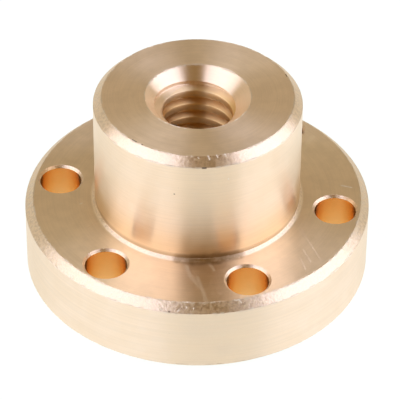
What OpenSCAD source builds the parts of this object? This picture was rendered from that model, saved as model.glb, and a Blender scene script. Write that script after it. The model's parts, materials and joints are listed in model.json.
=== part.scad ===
// Round flanged nut for a trapezoidal lead screw, turned from one bar of bronze.
// The back face of the flange lies on z = 0, centred on the bore. The bore runs along +Z
// to the nose of the barrel, and the first bolt hole lies on +X. All sizes are in millimetres.

/* [Flange] */
// Diameter of the flange
flange_d = 42; // [41.5:0.5:60]
// Thickness of the flange
flange_t = 10; // [4:0.5:16]
// Chamfer on both rims of the flange
rim_chamfer = 1; // [0.2:0.1:1.2]

/* [Barrel] */
// Diameter of the barrel
barrel_d = 25; // [18:0.5:27]
// Length of the nut, from the back face of the flange to the nose of the barrel
nut_l = 25; // [20:1:40]
// Chamfer at the nose of the barrel
nose_chamfer = 1; // [0.2:0.1:2]
// Radius of the corner that the tool leaves between the barrel and the flange
corner_r = 0.4; // [0.1:0.1:0.8]

/* [Bolt holes] */
// Number of bolt holes
hole_count = 6; // [3:1:8]
// Diameter of a bolt hole
hole_d = 5; // [3:0.1:5.4]
// Distance from the rim of the flange to the middle of a bolt hole
hole_edge = 4; // [3.8:0.05:5]
// Chamfer at both ends of a bolt hole
hole_chamfer = 0.3; // [0.1:0.05:0.4]

/* [Bore and thread] */
// Outer diameter of the screw that runs in the nut
thread_d = 10; // [9:0.5:12]
// Rise of the thread in one turn
pitch = 2; // [1.5:0.5:3]
// Diameter across the crests of the nut's thread
crest_d = 8.5; // [8:0.1:9]
// Gap between the outer diameter of the screw and the roots of the nut's thread
root_gap = 0.25; // [0.1:0.05:0.5]
// Slope of a flank of the thread, from square to the axis
flank_angle = 15; // [5:1:20]
// Angle round the bore at which the groove crosses the back face, from +X
thread_start = 247; // [0:1:359]
// Diameter of the countersink at each end of the bore
mouth_d = 12.7; // [10:0.1:14]
// Angle between the wall of a countersink and the axis
mouth_angle = 45; // [30:1:60]

/* [Hidden] */
// Flat pieces that stand for a full circle, and for the small arc of the corner
$fn = 120;
corner_steps = 6;
// Flat pieces that stand for one turn of the groove
groove_steps = 48;
// Length by which a cutting shape runs past the faces that it opens
overcut = 0.5;
flange_r = flange_d/2;
barrel_r = barrel_d/2;
hole_r = hole_d/2;
// The bolt holes keep their distance from the rim, unless that takes them into the corner
hole_circle_r = max(flange_r - hole_edge, barrel_r + corner_r + hole_r + hole_chamfer);
crest_r = crest_d/2;
root_r = thread_d/2 + root_gap;
// Screw and nut share the pitch diameter, where groove and ridge are equally wide
pitch_r = thread_d/2 - pitch/4;

// Half the width of the groove at radius r
function half_groove(r) = pitch/4 + (pitch_r - r)*tan(flank_angle);

// Four corners of the groove's section at angle a, where its middle lies at height z
function groove_section(a, z) = [
  for (corner = [[crest_r - overcut, -1], [root_r, -1], [root_r, 1], [crest_r - overcut, 1]])
    let (r = corner[0], side = corner[1])
      [r*cos(a), r*sin(a), z + side*half_groove(r)]
];

// Outline of the turned blank, from the back face round the outside to the nose
function blank_outline() = concat(
  [[0, 0], [flange_r - rim_chamfer, 0], [flange_r, rim_chamfer]],
  [[flange_r, flange_t - rim_chamfer], [flange_r - rim_chamfer, flange_t]],
  [for (i = [0:corner_steps]) let (a = 270 - 90*i/corner_steps)
    [barrel_r + corner_r*(1 + cos(a)), flange_t + corner_r*(1 + sin(a))]],
  [[barrel_r, nut_l - nose_chamfer], [barrel_r - nose_chamfer, nut_l], [0, nut_l]]
);

// The solid blank, as it comes off the lathe before it is drilled
module turned_blank() {
  rotate_extrude() polygon(blank_outline());
}

// A drilled hole along +Z through the length l, with a countersink of radius mouth_r at each end
module through_hole(wall_r, mouth_r, slope, l) {
  depth = (mouth_r - wall_r)/tan(slope);
  open_r = mouth_r + overcut*tan(slope);
  rotate_extrude() polygon([
    [0, -overcut], [open_r, -overcut], [wall_r, depth],
    [wall_r, l - depth], [open_r, l + overcut], [0, l + overcut]
  ]);
}

// Holes for the bolts that hold the flange
module bolt_holes() {
  for (i = [0:hole_count - 1])
    rotate(360*i/hole_count) translate([hole_circle_r, 0, 0])
      through_hole(hole_r, hole_r + hole_chamfer, 45, flange_t);
}

// Right-hand groove that a screw runs in, from one pitch below the back face to one above the nose
module thread_groove() {
  steps = ceil((nut_l/pitch + 2)*groove_steps);
  sections = [
    for (i = [0:steps]) let (turn = i/groove_steps)
      each groove_section(thread_start + 360*turn, pitch*(turn - 1))
  ];
  sides = [
    for (i = [0:steps - 1]) for (k = [0:3])
      let (a = 4*i + k, b = 4*i + (k + 1)%4)
        each [[a, b, b + 4], [a, b + 4, a + 4]]
  ];
  polyhedron(sections, concat([[3, 2, 1, 0]], sides, [[for (k = [0:3]) 4*steps + k]]));
}

module nut() {
  color("burlywood")
    difference() {
      turned_blank();
      through_hole(crest_r, mouth_d/2, mouth_angle, nut_l);
      bolt_holes();
      thread_groove();
    }
}

nut();
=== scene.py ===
"""Looks of a flanged bronze lead-screw nut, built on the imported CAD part.

The nut is rebuilt as one detailed mesh in the CAD frame: the turned blank, its bolt holes, its
helical thread and the marks of its life. Lengths are in millimetres until MM turns them into metres.
"""

import json
import math
from types import SimpleNamespace

import bmesh
import bpy
from mathutils import Matrix, Vector

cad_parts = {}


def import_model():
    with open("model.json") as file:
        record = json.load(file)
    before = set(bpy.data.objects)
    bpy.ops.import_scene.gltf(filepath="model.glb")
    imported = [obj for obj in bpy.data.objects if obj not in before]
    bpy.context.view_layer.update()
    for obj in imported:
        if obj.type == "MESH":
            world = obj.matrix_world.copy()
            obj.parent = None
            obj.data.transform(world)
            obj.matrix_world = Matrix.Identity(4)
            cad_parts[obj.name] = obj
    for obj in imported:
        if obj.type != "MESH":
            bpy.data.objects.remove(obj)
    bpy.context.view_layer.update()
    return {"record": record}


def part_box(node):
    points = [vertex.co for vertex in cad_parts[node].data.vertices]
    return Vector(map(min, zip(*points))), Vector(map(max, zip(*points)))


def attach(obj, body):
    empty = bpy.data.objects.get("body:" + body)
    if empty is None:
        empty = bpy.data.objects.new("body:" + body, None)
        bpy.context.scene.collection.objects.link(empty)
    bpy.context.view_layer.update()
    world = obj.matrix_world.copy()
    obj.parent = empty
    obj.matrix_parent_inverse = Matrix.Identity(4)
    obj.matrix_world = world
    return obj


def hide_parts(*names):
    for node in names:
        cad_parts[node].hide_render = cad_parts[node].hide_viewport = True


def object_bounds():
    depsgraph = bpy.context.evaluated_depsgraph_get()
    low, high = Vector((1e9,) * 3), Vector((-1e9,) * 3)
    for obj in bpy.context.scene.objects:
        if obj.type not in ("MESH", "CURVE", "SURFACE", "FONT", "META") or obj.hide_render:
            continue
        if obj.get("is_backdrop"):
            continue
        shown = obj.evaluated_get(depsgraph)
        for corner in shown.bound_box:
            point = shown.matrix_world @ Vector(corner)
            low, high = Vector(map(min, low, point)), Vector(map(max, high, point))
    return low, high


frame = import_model()

# ---------------------------------------------------------------- sizes

MM = 0.001
mounts = {m["name"]: m for m in frame["record"]["mounts"]}
low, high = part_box("nut")

NUT_L = high[2] / MM
FLANGE_R = round(high[0] / MM, 1)
FLANGE_T = mounts["flange_bolts"]["pos_m"][2] / MM
BARREL_R = mounts["barrel"]["dims"]["r_mm"]
HOLE_COUNT = mounts["flange_bolts"]["dims"]["count"]
HOLE_R = mounts["flange_bolts"]["dims"]["hole_r_mm"]
HOLE_CIRCLE_R = mounts["flange_bolts"]["dims"]["pcd_mm"] / 2
CREST_R = mounts["screw_thread"]["dims"]["r_mm"]
MOUTH_DEPTH = (NUT_L - mounts["screw_thread"]["dims"]["length_mm"]) / 2
MOUTH_R = CREST_R + MOUTH_DEPTH

RIM_CHAMFER = 1.0
NOSE_CHAMFER = 1.0
HOLE_CHAMFER = 0.3
PITCH = 2.0
PITCH_R = 4.5
ROOT_R = 5.25
FLANK = math.radians(15)
THREAD_START = math.radians(247)

# Width on the flange and height on the barrel of the small cove between them
COVE_W = 0.42
COVE_H = 0.27
# Radii with which the cove runs out into the flange and into the barrel
COVE_FOOT_R = 0.7
COVE_HEAD_R = 0.18

# Small radii that turning and handling leave on the edges
EDGE = 0.07
CREST_EDGE = 0.10
ROOT_CORNER = 0.15

ROUND_STEPS = 288
TURN_STEPS = 144
HOLE_STEPS = 72


# ---------------------------------------------------------------- mesh tools


def rounded(points, steps=3, closed=False):
    """Replaces each corner (x, y, radius) of an outline with an arc. A corner of radius 0 stays sharp."""
    out = []
    count = len(points)
    for i, (x, y, radius) in enumerate(points):
        here = Vector((x, y))
        if radius == 0 or (not closed and i in (0, count - 1)):
            out.append((x, y))
            continue
        back = (Vector(points[i - 1][:2]) - here).normalized()
        ahead = (Vector(points[(i + 1) % count][:2]) - here).normalized()
        half = back.angle(ahead) / 2
        centre = here + (back + ahead).normalized() * radius / math.sin(half)
        start = here + back * radius / math.tan(half) - centre
        end = here + ahead * radius / math.tan(half) - centre
        sweep = math.pi - 2 * half
        for k in range(steps + 1):
            a, b = math.sin((1 - k / steps) * sweep), math.sin(k / steps * sweep)
            out.append(tuple(centre + (start * a + end * b) / math.sin(sweep)))
    return out


def mesh_of_rows(name, rows, closed):
    """A closed mesh through equal rows of points. The rows join into a ring, or are capped at both ends."""
    across = len(rows[0])
    points = [tuple(c * MM for c in p) for row in rows for p in row]
    faces = []
    for i in range(len(rows) if closed else len(rows) - 1):
        j = (i + 1) % len(rows)
        for k in range(across):
            m = (k + 1) % across
            faces.append((i * across + k, i * across + m, j * across + m, j * across + k))
    if not closed:
        faces.append(tuple(range(across)))
        faces.append(tuple((len(rows) - 1) * across + k for k in range(across)))
    mesh = bpy.data.meshes.new(name)
    mesh.from_pydata(points, [], faces)
    tidy = bmesh.new()
    tidy.from_mesh(mesh)
    bmesh.ops.recalc_face_normals(tidy, faces=tidy.faces)
    tidy.to_mesh(mesh)
    tidy.free()
    made = bpy.data.objects.new(name, mesh)
    bpy.context.scene.collection.objects.link(made)
    return made


def ring(r, z, steps, centre=(0, 0)):
    """Points at equal angles on a level circle."""
    turn = [2 * math.pi * i / steps for i in range(steps)]
    return [(centre[0] + r * math.cos(a), centre[1] + r * math.sin(a), z) for a in turn]


def carve(body, cutter):
    """Takes the cutter's volume out of the body, then deletes the cutter."""
    cut = body.modifiers.new("carve", "BOOLEAN")
    cut.operation = "DIFFERENCE"
    cut.solver = "MANIFOLD"
    cut.object = cutter
    graph = bpy.context.evaluated_depsgraph_get()
    carved = bpy.data.meshes.new_from_object(body.evaluated_get(graph))
    body.modifiers.clear()
    body.data = carved
    bpy.data.objects.remove(cutter)


# ---------------------------------------------------------------- the nut


def half_groove(r):
    """Half the width of the thread's groove at radius r."""
    return PITCH / 4 + (PITCH_R - r) * math.tan(FLANK)


def blank():
    """The turned blank with its bore and countersinks, every edge eased a little."""
    outline = [
        (CREST_R, MOUTH_DEPTH, EDGE),
        (MOUTH_R, 0, EDGE),
        (FLANGE_R - RIM_CHAMFER, 0, EDGE),
        (FLANGE_R, RIM_CHAMFER, EDGE),
        (FLANGE_R, FLANGE_T - RIM_CHAMFER, EDGE),
        (FLANGE_R - RIM_CHAMFER, FLANGE_T, EDGE),
        (BARREL_R + COVE_W, FLANGE_T, COVE_FOOT_R),
        (BARREL_R, FLANGE_T + COVE_H, COVE_HEAD_R),
        (BARREL_R, NUT_L - NOSE_CHAMFER, EDGE),
        (BARREL_R - NOSE_CHAMFER, NUT_L, EDGE),
        (MOUTH_R, NUT_L, EDGE),
        (CREST_R, NUT_L - MOUTH_DEPTH, EDGE),
    ]
    rings = [ring(r, z, ROUND_STEPS) for r, z in rounded(outline, 4, closed=True)]
    return mesh_of_rows("nut_detail", rings, closed=True)


def bolt_hole(centre):
    """Cutter for one bolt hole, with a small countersink and an eased lip at each end."""
    over = 0.3
    lip_r = HOLE_R + HOLE_CHAMFER
    top = [
        (lip_r + over, FLANGE_T + over, 0),
        (lip_r, FLANGE_T, 0),
        (HOLE_R, FLANGE_T - HOLE_CHAMFER, EDGE / 2),
        (HOLE_R, FLANGE_T / 2, 0),
    ]
    upper = rounded(top, 2)
    lower = [(r, FLANGE_T - z) for r, z in reversed(upper[:-1])]
    rings = [ring(r, z, HOLE_STEPS, centre) for r, z in upper + lower]
    return mesh_of_rows("bolt_hole", rings, closed=False)


def groove():
    """Cutter for the right-hand groove, with eased corners at its roots and at the crests."""
    start_r = CREST_R - 0.01
    mouth = half_groove(start_r)
    side = [
        (start_r, mouth + 0.2, 0),
        (start_r, mouth, CREST_EDGE),
        (ROOT_R, half_groove(ROOT_R), ROOT_CORNER),
        (ROOT_R, 0, 0),
    ]
    right = rounded(side, 4)
    right = [(CREST_R - 0.2, right[1][1])] + right[1:-1]
    section = right + [(r, -s) for r, s in reversed(right)]
    rows = []
    for i in range(round((NUT_L / PITCH + 2) * TURN_STEPS) + 1):
        turn = i / TURN_STEPS
        a = THREAD_START + 2 * math.pi * turn
        z = PITCH * (turn - 1)
        rows.append([(r * math.cos(a), r * math.sin(a), z + s) for r, s in section])
    return mesh_of_rows("groove", rows, closed=False)


def nut():
    """The whole nut as one closed mesh."""
    body = blank()
    for i in range(HOLE_COUNT):
        a = 2 * math.pi * i / HOLE_COUNT
        carve(body, bolt_hole((HOLE_CIRCLE_R * math.cos(a), HOLE_CIRCLE_R * math.sin(a))))
    carve(body, groove())
    tidy = bmesh.new()
    tidy.from_mesh(body.data)
    bmesh.ops.remove_doubles(tidy, verts=tidy.verts, dist=0.002 * MM)
    bmesh.ops.dissolve_degenerate(tidy, edges=tidy.edges, dist=0.001 * MM)
    tidy.to_mesh(body.data)
    tidy.free()
    body.data.shade_smooth()
    body.data.set_sharp_from_angle(angle=math.radians(32))
    body.modifiers.new("normals", "WEIGHTED_NORMAL").keep_sharp = True
    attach(body, "root")
    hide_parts("nut")
    return body


# ---------------------------------------------------------------- material tools


class Graph:
    """Short calls that add nodes to one node tree and link them."""

    def __init__(self, tree):
        self.tree = tree
        tree.nodes.clear()

    def add(self, kind, inputs=None, **settings):
        node = self.tree.nodes.new(kind)
        for key, value in settings.items():
            setattr(node, key, value)
        for key, value in (inputs or {}).items():
            self.put(node.inputs[key], value)
        return node

    def put(self, socket, value):
        if isinstance(value, bpy.types.NodeSocket):
            self.tree.links.new(value, socket)
        else:
            socket.default_value = value

    def math(self, operation, *values):
        return self.add("ShaderNodeMath", dict(enumerate(values)), operation=operation).outputs[0]

    def vector(self, operation, *values):
        node = self.add("ShaderNodeVectorMath", operation=operation)
        for i, value in enumerate(values):
            self.put(node.inputs["Scale" if operation == "SCALE" and i == 1 else i], value)
        return node.outputs["Value" if operation in ("LENGTH", "DOT_PRODUCT", "DISTANCE") else "Vector"]

    def split(self, vector):
        return self.add("ShaderNodeSeparateXYZ", {0: vector}).outputs

    def join(self, x, y, z):
        return self.add("ShaderNodeCombineXYZ", {0: x, 1: y, 2: z}).outputs[0]

    def mix(self, factor, a, b):
        node = self.add("ShaderNodeMix", {"Factor": factor, "A": a, "B": b}, data_type="FLOAT")
        return node.outputs["Result"]

    def blend(self, factor, a, b, mode="MIX"):
        node = self.add("ShaderNodeMix", data_type="RGBA", blend_type=mode)
        for socket, value in zip((node.inputs[0], node.inputs[6], node.inputs[7]), (factor, a, b)):
            self.put(socket, value)
        return node.outputs[2]

    def span(self, value, low, high, to_low=0.0, to_high=1.0):
        """Maps low..high onto to_low..to_high smoothly, and holds the ends."""
        inputs = {"Value": value, "From Min": low, "From Max": high, "To Min": to_low, "To Max": to_high}
        return self.add("ShaderNodeMapRange", inputs, interpolation_type="SMOOTHSTEP").outputs[0]

    def noise(self, vector, scale, detail=2.0, rough=0.5, w=None):
        inputs = {"Vector": vector, "Scale": scale, "Detail": detail, "Roughness": rough}
        node = self.add("ShaderNodeTexNoise", noise_dimensions="3D" if w is None else "4D")
        for key, value in inputs.items():
            self.put(node.inputs[key], value)
        if w is not None:
            self.put(node.inputs["W"], w)
        return node.outputs["Fac"]


# ---------------------------------------------------------------- marks of handling

# Each mark runs from one place to another. A place is its turn from +X in degrees, its distance
# from the axis and its height. The last number is the mark's half width.

# Burrs and rubbed spots, which scatter the light and carry a painted glint
BURRS = [
    ((-80.5, 11.6, 24.9), (-80.0, 11.8, 24.8), 0.10),
    ((-74.7, 11.5, 25.0), (-74.0, 11.8, 24.7), 0.15),
    ((-69.7, 11.5, 25.0), (-69.4, 11.7, 24.8), 0.12),
    ((-64.8, 11.5, 25.0), (-64.5, 11.7, 24.8), 0.12),
    ((-64.0, 12.5, 22.0), (-64.0, 12.5, 22.1), 0.12),
    ((-92.3, 20.8, 9.2), (-92.0, 20.8, 9.2), 0.16),
    ((-86.8, 20.8, 9.2), (-86.4, 20.7, 9.3), 0.14),
    ((-85.4, 20.0, 10.0), (-83.6, 20.0, 10.0), 0.10),
    ((-84.0, 20.4, 9.6), (-84.0, 20.5, 9.5), 0.13),
    ((-81.8, 20.5, 9.5), (-81.6, 20.5, 9.5), 0.13),
    ((-68.0, 20.0, 10.0), (-67.2, 20.1, 9.9), 0.11),
    ((-66.4, 20.1, 9.9), (-65.8, 20.3, 9.7), 0.12),
    ((-62.6, 20.9, 9.1), (-62.4, 20.9, 9.1), 0.14),
    ((-165.0, 20.9, 9.1), (-166.5, 20.0, 10.0), 0.13),
    ((-163.0, 20.0, 10.0), (-158.5, 20.0, 10.0), 0.08),
    ((-162.4, 14.4, 10.0), (-163.0, 14.1, 10.0), 0.11),
    ((15.3, 17.8, 10.0), (13.7, 19.0, 10.0), 0.14),
    ((52.0, 20.0, 10.0), (54.0, 20.3, 9.7), 0.15),
    ((118.0, 20.7, 9.3), (118.6, 20.8, 9.2), 0.16),
    ((96.0, 11.6, 24.9), (96.8, 11.8, 24.7), 0.14),
    ((141.0, 20.6, 0.6), (141.5, 20.7, 0.7), 0.17),
    ((-20.0, 20.4, 0.4), (-19.0, 20.6, 0.6), 0.15),
]

# Thin scratches
SCRATCHES = [
    ((-144.0, 14.8, 10.0), (-147.4, 12.9, 10.0), 0.06),
    ((-17.8, 13.9, 10.0), (-31.0, 19.5, 10.0), 0.05),
    ((-23.5, 15.8, 10.0), (-28.0, 17.8, 10.0), 0.06),
    ((-30.0, 16.4, 10.0), (-33.7, 18.5, 10.0), 0.06),
    ((-34.8, 17.1, 10.0), (-38.2, 19.1, 10.0), 0.06),
    ((-72.5, 18.5, 10.0), (-71.0, 18.6, 10.0), 0.08),
    ((82.0, 12.5, 14.0), (88.0, 12.5, 19.0), 0.06),
    ((150.0, 21.0, 3.0), (156.0, 21.0, 6.5), 0.06),
    ((60.0, 14.0, 0.0), (75.0, 18.0, 0.0), 0.06),
    ((-130.0, 9.0, 0.0), (-118.0, 15.0, 0.0), 0.06),
]

# Smears with soft edges, where something rubbed across the face of the flange
SMEARS = [
    ((-86.0, 13.6, 10.0), (-83.6, 15.3, 10.0), 0.35),
    ((-83.6, 15.3, 10.0), (-79.5, 17.2, 10.0), 0.45),
    ((-80.5, 15.5, 10.0), (-78.6, 17.7, 10.0), 0.32),
    ((-78.6, 17.7, 10.0), (-77.5, 20.0, 10.0), 0.36),
    ((-74.7, 12.9, 10.0), (-72.5, 14.4, 10.0), 0.30),
    ((-63.5, 12.8, 10.0), (-62.8, 12.9, 10.0), 0.25),
    ((40.0, 14.5, 10.0), (48.0, 18.5, 10.0), 0.40),
]

# Dents and pits, painted dark as the shade they trap
PITS = [
    ((-93.2, 12.5, 19.9), (-93.1, 12.5, 19.9), 0.13),
    ((-78.0, 12.5, 24.0), (-76.4, 12.5, 24.0), 0.16),
    ((-122.6, 11.4, 25.0), (-119.5, 11.4, 25.0), 0.11),
    ((-115.4, 11.4, 25.0), (-115.0, 11.4, 25.0), 0.11),
    ((-89.6, 20.9, 9.1), (-89.4, 20.9, 9.1), 0.15),
    ((74.0, 12.5, 21.0), (74.3, 12.5, 21.0), 0.12),
    ((165.0, 21.0, 5.5), (165.3, 21.0, 5.5), 0.13),
    ((30.0, 11.4, 25.0), (32.0, 11.4, 25.0), 0.10),
]

# Stains along the corner above the flange, where the two cuts met
STAINS = [
    ((-91.0, 12.6, 10.2), (-83.0, 12.6, 10.2), 0.9),
    ((-83.0, 12.6, 10.2), (-70.0, 12.6, 10.3), 1.2),
    ((-70.0, 12.6, 10.3), (-57.0, 12.6, 10.2), 0.9),
    ((95.0, 12.6, 10.2), (104.0, 12.6, 10.2), 0.7),
]

# Distance from the axis and height of each outer edge of a chamfer
EDGES = [
    (FLANGE_R - RIM_CHAMFER, 0.0),
    (FLANGE_R, RIM_CHAMFER),
    (FLANGE_R, FLANGE_T - RIM_CHAMFER),
    (FLANGE_R - RIM_CHAMFER, FLANGE_T),
    (BARREL_R, NUT_L - NOSE_CHAMFER),
    (BARREL_R - NOSE_CHAMFER, NUT_L),
    (MOUTH_R, NUT_L),
]


def at(turn, r, z):
    """A place in millimetres from its turn, distance from the axis and height."""
    a = math.radians(turn)
    return Vector((r * math.cos(a), r * math.sin(a), z))


def marks(g, place, made):
    """How far each point lies inside any of these marks, from 0 to 1."""
    closest = 10.0
    for start, end, width in made:
        start, along = at(*start), at(*end) - at(*start)
        here = g.vector("SUBTRACT", place, tuple(start))
        share = g.vector("DOT_PRODUCT", here, tuple(along / along.length_squared))
        share = g.math("MAXIMUM", g.math("MINIMUM", share, 1.0), 0.0)
        off = g.vector("DISTANCE", here, g.vector("SCALE", tuple(along), share))
        closest = g.math("MINIMUM", closest, g.math("DIVIDE", off, width))
    return g.span(closest, 0.3, 1.0, 1.0, 0.0)


# ---------------------------------------------------------------- bronze

# Colours of the metal: most faces, the face at the nose and the face that a bracket seats on
DEEP_TINT = (0.946, 0.763, 0.568, 1)
PALE_TINT = (0.963, 0.793, 0.609, 1)
TOP_TINT = (0.952, 0.785, 0.626, 1)
SEAT_TINT = (0.908, 0.742, 0.557, 1)

# Crests of the thread near the mouth and deeper in, where painted shade darkens them; its flanks, paler
# with a painted highlight; the bolt holes, with painted reflected light; and the foot of the barrel, with a
# painted warm reflection of the flange
CREST_TINT = (0.95, 0.75, 0.50, 1)
# Painted shade: the crests below the mouth of the bore are darker, as if shaded
DEEP_CREST_TINT = (0.95, 0.67, 0.33, 1)
# Painted highlight: the flanks of the thread are paler, as if lit
FLANK_TINT = (0.98, 0.82, 0.60, 1)
# Painted reflection: the bolt holes have the orange of light bounced between their walls
HOLE_TINT = (0.977, 0.664, 0.333, 1)
# Painted reflection: the foot of the barrel is warmer and darker, as with the flange reflected in it
FOOT_TINT = (0.90, 0.68, 0.42, 1)

# Marks of handling: edge wear with a painted highlight, burrs with a painted glint, smears, stains, and
# pits painted dark as shade
SMEAR_TINT = (1.0, 0.88, 0.66, 1)
WORN_TINT = (1.0, 0.93, 0.80, 1)
BURR_TINT = (1.0, 0.93, 0.82, 1)
STAIN_TINT = (0.44, 0.31, 0.18, 1)
PIT_TINT = (0.18, 0.125, 0.08, 1)


def find_place(g):
    """Where each point lies, in millimetres, and on which part of the nut."""
    s = SimpleNamespace()
    coordinates = g.add("ShaderNodeTexCoord").outputs
    s.place = g.vector("SCALE", coordinates["Object"], 1 / MM)
    x, y, s.z = g.split(s.place)
    s.nut_r = g.vector("LENGTH", g.join(x, y, 0.0))

    # The tool went round the axis of the nut or, at a bolt hole, round the axis of that hole
    turn = g.math("ARCTAN2", y, x)
    nearest = g.math("SNAP", g.math("ADD", turn, math.pi / HOLE_COUNT), 2 * math.pi / HOLE_COUNT)
    hole_x = g.math("SUBTRACT", x, g.math("MULTIPLY", g.math("COSINE", nearest), HOLE_CIRCLE_R))
    hole_y = g.math("SUBTRACT", y, g.math("MULTIPLY", g.math("SINE", nearest), HOLE_CIRCLE_R))
    hole_r = g.vector("LENGTH", g.join(hole_x, hole_y, 0.0))
    at_hole = g.math("LESS_THAN", hole_r, HOLE_R + HOLE_CHAMFER - 0.01)
    from_x = g.mix(at_hole, x, hole_x)
    from_y = g.mix(at_hole, y, hole_y)
    s.r = g.vector("LENGTH", g.join(from_x, from_y, 0.0))
    s.round_dir = g.vector("NORMALIZE", g.join(g.math("MULTIPLY", from_y, -1.0), from_x, 0.0))

    # Bore, bolt holes, level faces, barrel wall and the chamfers that were cut coarsely
    s.in_bore = g.math("LESS_THAN", s.nut_r, ROOT_R + 0.2)
    s.in_bore = g.math("MULTIPLY", s.in_bore, g.math("LESS_THAN", s.z, NUT_L - MOUTH_DEPTH + 0.02))
    s.in_hole = g.math("MULTIPLY", at_hole, g.math("LESS_THAN", hole_r, HOLE_R + 0.03))
    slope = g.math("ABSOLUTE", g.split(coordinates["Normal"])[2])
    s.level = g.math("GREATER_THAN", slope, 0.95)
    s.on_top = g.math("MULTIPLY", s.level, g.math("GREATER_THAN", s.z, NUT_L - 0.1))
    s.on_seat = g.math("MULTIPLY", s.level, g.math("LESS_THAN", s.z, NUT_L - 0.1))
    upright = g.math("LESS_THAN", slope, 0.2)
    s.on_barrel = g.math("MULTIPLY", upright, g.math("LESS_THAN", s.nut_r, BARREL_R + 0.1))
    s.on_barrel = g.math("MULTIPLY", s.on_barrel, g.math("GREATER_THAN", s.nut_r, BARREL_R - 0.1))
    sloping = g.math("MULTIPLY", g.span(slope, 0.3, 0.5), g.span(slope, 0.85, 0.95, 1.0, 0.0))
    outside = g.math("GREATER_THAN", s.nut_r, BARREL_R - NOSE_CHAMFER - 0.1)
    on_chamfer = g.math("MULTIPLY", sloping, outside)
    s.coarse = g.math("MULTIPLY", on_chamfer, g.span(s.z, FLANGE_T + 1, NUT_L - 2, 1.0, 0.75))
    return s


def add_tool_marks(g, s):
    """Traces of the tool, which are fine across the cut and long around it, and the grain of the metal."""
    round_x, round_y, _ = g.split(s.round_dir)

    def traces(across, along, detail, rough):
        cut = [g.math("MULTIPLY", value, across) for value in (s.r, s.z)]
        where = g.join(*cut, g.math("MULTIPLY", round_x, along))
        return g.noise(where, 1.0, detail, rough, w=g.math("MULTIPLY", round_y, along))

    s.fine = traces(6.0, 3.0, 3.0, 0.6)
    s.lines = traces(4.4, 1.1, 2.0, 0.6)
    s.broad = traces(1.0, 1.5, 2.0, 0.5)
    s.chatter = traces(2.5, 26.0, 3.0, 0.7)
    s.mottle = g.noise(s.place, 2.6, 3.0, 0.65)
    s.cloud = g.noise(s.place, 0.35, 4.0, 0.6)
    s.grain = g.noise(s.place, 9.0, 3.0, 0.6)


def add_wear(g, s):
    """Edge wear with a painted highlight, painted shade in the corner above the flange, marks of handling
    with painted glints and shade, and tiny pits painted dark as shade.
    """
    profile = g.join(s.nut_r, s.z, 0.0)
    edge = 10.0
    for edge_r, edge_z in EDGES:
        edge = g.math("MINIMUM", edge, g.vector("DISTANCE", profile, (edge_r, edge_z, 0.0)))
    patches = g.span(g.noise(s.place, 1.3, 3.0, 0.6), 0.46, 0.6)
    # Edge wear, which also carries a painted highlight along the chamfer edges
    s.worn = g.math("MULTIPLY", g.span(edge, 0.05, 0.2, 1.0, 0.0), patches)
    # Painted shade in the corner above the flange, all round the barrel
    s.grime = g.math("MULTIPLY", s.on_barrel, g.span(s.z, FLANGE_T + 0.5, FLANGE_T + 1.1, 0.3, 0.0))
    s.burr = marks(g, s.place, BURRS)
    s.scratch = marks(g, s.place, SCRATCHES)
    s.smear = marks(g, s.place, SMEARS)
    s.pit = marks(g, s.place, PITS)
    patches = g.span(g.noise(s.place, 1.1, 3.0, 0.65), 0.3, 0.6, 0.5, 0.9)
    s.stain = g.math("MULTIPLY", marks(g, s.place, STAINS), patches)
    # Tiny pits, painted dark as shade
    s.specks = g.span(g.noise(s.place, 2.2, 2.0, 0.5), 0.765, 0.80)


def relief(g, s):
    """The fine relief that the tool left, deeper on the coarse chamfers."""
    height = g.math("ADD", g.math("MULTIPLY", s.fine, 0.5), g.math("MULTIPLY", s.broad, 0.8))
    height = g.math("ADD", height, g.math("MULTIPLY", s.lines, 0.7))
    height = g.math("ADD", height, g.math("MULTIPLY", s.grain, 0.15))
    rough_cut = g.math("ADD", g.math("MULTIPLY", s.chatter, 3.5), g.math("MULTIPLY", s.mottle, 4.0))
    height = g.math("ADD", height, g.math("MULTIPLY", rough_cut, s.coarse))
    inputs = {"Strength": 1.0, "Distance": 0.006 * MM, "Height": height}
    return g.add("ShaderNodeBump", inputs).outputs[0]


def roughness(g, s):
    """How dull each part is: smooth in the bolt holes, dull where something rubbed."""
    uneven = g.math("ADD", g.math("MULTIPLY", s.lines, 0.5), g.math("MULTIPLY", s.cloud, 0.5))
    rough = g.span(uneven, 0.3, 0.7, 0.33, 0.41)
    parts = (
        (s.coarse, g.span(s.mottle, 0.35, 0.65, 0.9, 1.3)),
        (s.on_barrel, g.span(s.z, FLANGE_T, FLANGE_T + 6, 0.8, 0.92)),
        (s.on_top, 0.9),
        (s.in_hole, 0.62),
    )
    for part, factor in parts:
        rough = g.mix(part, rough, g.math("MULTIPLY", rough, factor))
    rough = g.mix(s.in_bore, rough, g.mix(s.level, 0.40, 0.45))
    rough = g.mix(g.math("MULTIPLY", s.smear, 0.6), rough, 0.6)
    rough = g.mix(g.math("MULTIPLY", s.scratch, 0.8), rough, 0.75)
    return g.mix(g.math("MAXIMUM", g.math("MULTIPLY", s.worn, 0.6), s.burr), rough, 0.95)


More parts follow.
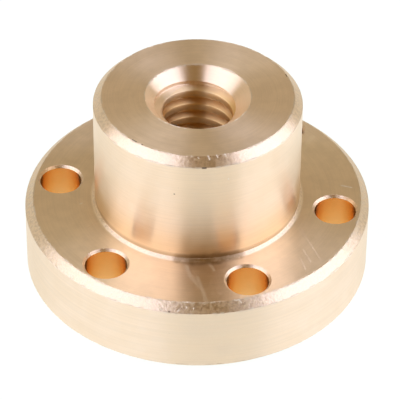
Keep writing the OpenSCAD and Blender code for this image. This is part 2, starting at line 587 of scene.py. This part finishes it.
def tint(g, s):
    """Colour of the metal on each part, with painted light and shade in the bore, the bolt holes and at the
    foot of the barrel, then streaks and blotches and painted shade in the corner above the flange, then the
    marks of handling with painted highlights, glints and shade.
    """
    hue = g.blend(g.span(s.cloud, 0.35, 0.7), DEEP_TINT, PALE_TINT)
    hue = g.blend(s.on_top, hue, TOP_TINT)
    hue = g.blend(s.on_seat, hue, SEAT_TINT)
    # Painted shade: the thread below the mouth of the bore is darker
    deep = g.span(s.z, NUT_L - MOUTH_DEPTH - 0.8, NUT_L - MOUTH_DEPTH, 1.0, 0.0)
    crest = g.blend(deep, CREST_TINT, DEEP_CREST_TINT)
    # The flanks of the thread are paler with a painted highlight
    hue = g.blend(s.in_bore, hue, g.blend(s.level, crest, FLANK_TINT))
    # Painted reflection of light bounced inside the bolt holes
    hue = g.blend(s.in_hole, hue, HOLE_TINT)
    # Painted warm reflection of the flange, strongest at the foot of the barrel
    foot = g.math("MULTIPLY", s.on_barrel, g.span(s.z, FLANGE_T + 0.5, FLANGE_T + 6, 0.9, 0.12))
    hue = g.blend(foot, hue, FOOT_TINT)

    streaks = g.math("ADD", g.math("MULTIPLY", s.lines, 0.7), g.math("MULTIPLY", s.fine, 0.3))
    shade = g.span(streaks, 0.3, 0.7, 0.965, 1.03)
    blotch = g.span(g.noise(s.place, 0.5, 3.0, 0.55), 0.35, 0.65, 0.965, 1.025)
    shade = g.math("MULTIPLY", shade, g.mix(s.level, 1.0, blotch))
    shade = g.math("MULTIPLY", shade, g.mix(s.coarse, 1.0, g.span(s.mottle, 0.35, 0.65, 0.85, 1.10)))
    # Painted shade in the corner above the flange
    shade = g.math("MULTIPLY", shade, g.math("SUBTRACT", 1.0, s.grime))
    hue = g.blend(1.0, hue, g.join(shade, shade, shade), "MULTIPLY")

    hue = g.blend(g.math("MULTIPLY", s.smear, 0.3), hue, SMEAR_TINT)
    # Edge wear with a painted highlight: the chamfer edges are paler
    hue = g.blend(g.math("MULTIPLY", s.worn, 0.65), hue, WORN_TINT)
    # Burrs and rubbed spots: real marks with a painted glint, paler than the metal
    hue = g.blend(g.math("MULTIPLY", s.burr, 0.9), hue, BURR_TINT)
    hue = g.blend(s.stain, hue, STAIN_TINT)
    # Painted shade: dents, pits and tiny pits are painted dark as the shade they trap
    dark = g.math("MAXIMUM", g.math("MULTIPLY", s.pit, 0.85), g.math("MULTIPLY", s.specks, 0.25))
    return g.blend(dark, hue, PIT_TINT)


def bronze():
    """Turned bronze. Its highlights spread across the traces of the tool, as on any turned face."""
    made = bpy.data.materials.new("turned_bronze")
    made.use_nodes = True
    g = Graph(made.node_tree)
    s = find_place(g)
    add_tool_marks(g, s)
    add_wear(g, s)
    inputs = {
        "Base Color": tint(g, s),
        "Roughness": roughness(g, s),
        "Normal": relief(g, s),
        "Tangent": s.round_dir,
        "Anisotropic": g.mix(g.math("MULTIPLY", s.in_bore, s.level), 0.9, 0.6),
    }
    shader = g.add("ShaderNodeBsdfPrincipled", inputs)
    shader.inputs["Anisotropic Rotation"].default_value = 0.25
    shader.inputs["Metallic"].default_value = 1.0
    g.add("ShaderNodeOutputMaterial", {"Surface": shader.outputs[0]})
    return made


# ---------------------------------------------------------------- studio

# Turn of the camera about the axis of the nut, and its rise from the floor in degrees
VIEW_TURN = math.radians(9.15)
VIEW_RISE = 38.877
# Radius of the floor and distance of the lamps from the axis, in metres
FLOOR_R = 1.4
LAMP_AWAY = 0.38
LAMP_COLOUR = (1.0, 1.04, 1.33)


def aim_at(turn, rise):
    """Unit vector from the nut, turned from the camera's side to the right and raised from the floor."""
    a, e = VIEW_TURN + math.radians(turn), math.radians(rise)
    return Vector((math.sin(a) * math.cos(e), -math.cos(a) * math.cos(e), math.sin(e)))


def floor():
    """Pale floor that looks white and keeps the shadow of the nut. Under the bore it is dark."""
    mesh = bpy.data.meshes.new("floor")
    outline = ring(FLOOR_R, 0, 64)
    mesh.from_pydata(outline, [], [tuple(range(len(outline)))])
    made = bpy.data.objects.new("floor", mesh)
    bpy.context.scene.collection.objects.link(made)
    made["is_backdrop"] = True
    paint = bpy.data.materials.new("pale_floor")
    paint.use_nodes = True
    g = Graph(paint.node_tree)
    ray = g.add("ShaderNodeLightPath").outputs
    seen = g.math("MAXIMUM", ray["Is Camera Ray"], ray["Is Glossy Ray"])
    seen = g.math("MAXIMUM", seen, ray["Is Transmission Ray"])
    matt = g.add("ShaderNodeBsdfDiffuse", {"Color": (0.75, 0.75, 0.75, 1)}).outputs[0]
    white = g.add("ShaderNodeEmission", {"Color": (1.0, 1.05, 1.03, 1), "Strength": 1.1}).outputs[0]

    # Seen through the bore, the floor lies in the shadow of the nut
    away = g.vector("LENGTH", g.add("ShaderNodeNewGeometry").outputs["Position"])
    lit = g.span(away, 6 * MM, 9 * MM, 0.1, 0.8)
    both = g.add("ShaderNodeMixShader", {0: g.math("MULTIPLY", seen, lit), 1: matt, 2: white}).outputs[0]
    g.add("ShaderNodeOutputMaterial", {"Surface": both})
    mesh.materials.append(paint)


def world():
    """Warm, dim walls: palest near the floor, dimmest above the camera, with two soft glows behind."""
    made = bpy.data.worlds.new("studio")
    bpy.context.scene.world = made
    made.use_nodes = True
    g = Graph(made.node_tree)
    direction = g.vector("NORMALIZE", g.add("ShaderNodeTexCoord").outputs["Generated"])
    climb = g.split(direction)[2]
    above_camera = g.vector("DOT_PRODUCT", direction, tuple(aim_at(16, 48)))
    wall = g.blend(g.span(climb, 0.2, 0.7), (0.559, 0.459, 0.305, 1), (0.441, 0.349, 0.229, 1))
    wall = g.blend(g.span(climb, 0.0, 0.28), (0.836, 0.81, 0.756, 1), wall)
    wall = g.blend(g.span(above_camera, 0.45, 0.85), wall, (0.245, 0.139, 0.026, 1))
    for turn, rise, glow in ((-132, 62, 0.745), (125, 58, 0.473)):
        towards = g.vector("DOT_PRODUCT", direction, tuple(aim_at(turn, rise)))
        wall = g.blend(g.span(towards, 0.88, 0.99), wall, (glow, glow * 0.93, glow * 0.72, 1))
    shine = g.add("ShaderNodeBackground", {"Color": wall}).outputs[0]
    g.add("ShaderNodeOutputWorld", {"Surface": shine})


def softbox(name, turn, spread, low, high, level):
    """An upright soft light, seen from the nut within spread degrees of turn and from low to high degrees.

    Its level is the brightness of its face, where 1 is white paper.
    """
    width = 2 * LAMP_AWAY * math.tan(math.radians(spread))
    bottom, top = (LAMP_AWAY * math.tan(math.radians(rise)) for rise in (low, high))
    lamp = bpy.data.lights.new(name, "AREA")
    lamp.shape = "RECTANGLE"
    lamp.size, lamp.size_y = width, top - bottom
    lamp.energy = level * math.pi * width * (top - bottom)
    lamp.color = LAMP_COLOUR
    made = bpy.data.objects.new(name, lamp)
    bpy.context.scene.collection.objects.link(made)
    arm = aim_at(turn, 0)
    made.location = arm * LAMP_AWAY + Vector((0, 0, (bottom + top) / 2))
    made.rotation_euler = arm.to_track_quat("Z", "Y").to_euler()


# ---------------------------------------------------------------- camera

# Roll of the camera, and its distance from a point on the axis of the nut at this height
VIEW_ROLL = math.radians(0.479)
VIEW_DISTANCE = 336.12
VIEW_HEIGHT = 12
# How far the camera aims to the right of that point and below it
AIM_RIGHT = 0.355
AIM_BELOW = 2.275
# Focal length, as a share of the width of the picture
FOCAL = 6.903
SENSOR_WIDTH = 36


def camera():
    """Camera at the viewing angle, aimed a little below the middle of the nut."""
    right = Vector((math.cos(VIEW_TURN), math.sin(VIEW_TURN), 0))
    back = aim_at(0, VIEW_RISE)
    up = back.cross(right)
    lens = bpy.data.cameras.new("camera")
    lens.sensor_width = SENSOR_WIDTH
    lens.lens = SENSOR_WIDTH * FOCAL
    lens.clip_start = 0.01
    lens.clip_end = 10
    seen = bpy.data.objects.new("camera", lens)
    bpy.context.scene.collection.objects.link(seen)
    middle = Vector((0, 0, VIEW_HEIGHT))
    seen.location = (middle + back * VIEW_DISTANCE) * MM
    aim = (middle + right * AIM_RIGHT - up * AIM_BELOW) * MM
    axis = (seen.location - aim).normalized()
    side = right * math.cos(VIEW_ROLL) + up * math.sin(VIEW_ROLL)
    side = (side - axis * side.dot(axis)).normalized()
    seen.rotation_euler = Matrix((side, axis.cross(side), axis)).transposed().to_euler()
    bpy.context.scene.camera = seen


body = nut()
body.data.materials.clear()
body.data.materials.append(bronze())
floor()
world()
softbox("softbox_left", -61, 43, 8, 74, 1.34)
softbox("softbox_right", 80, 37, 3, 70, 1.46)
camera()
bpy.context.scene.view_settings.view_transform = "Standard"

low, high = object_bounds()
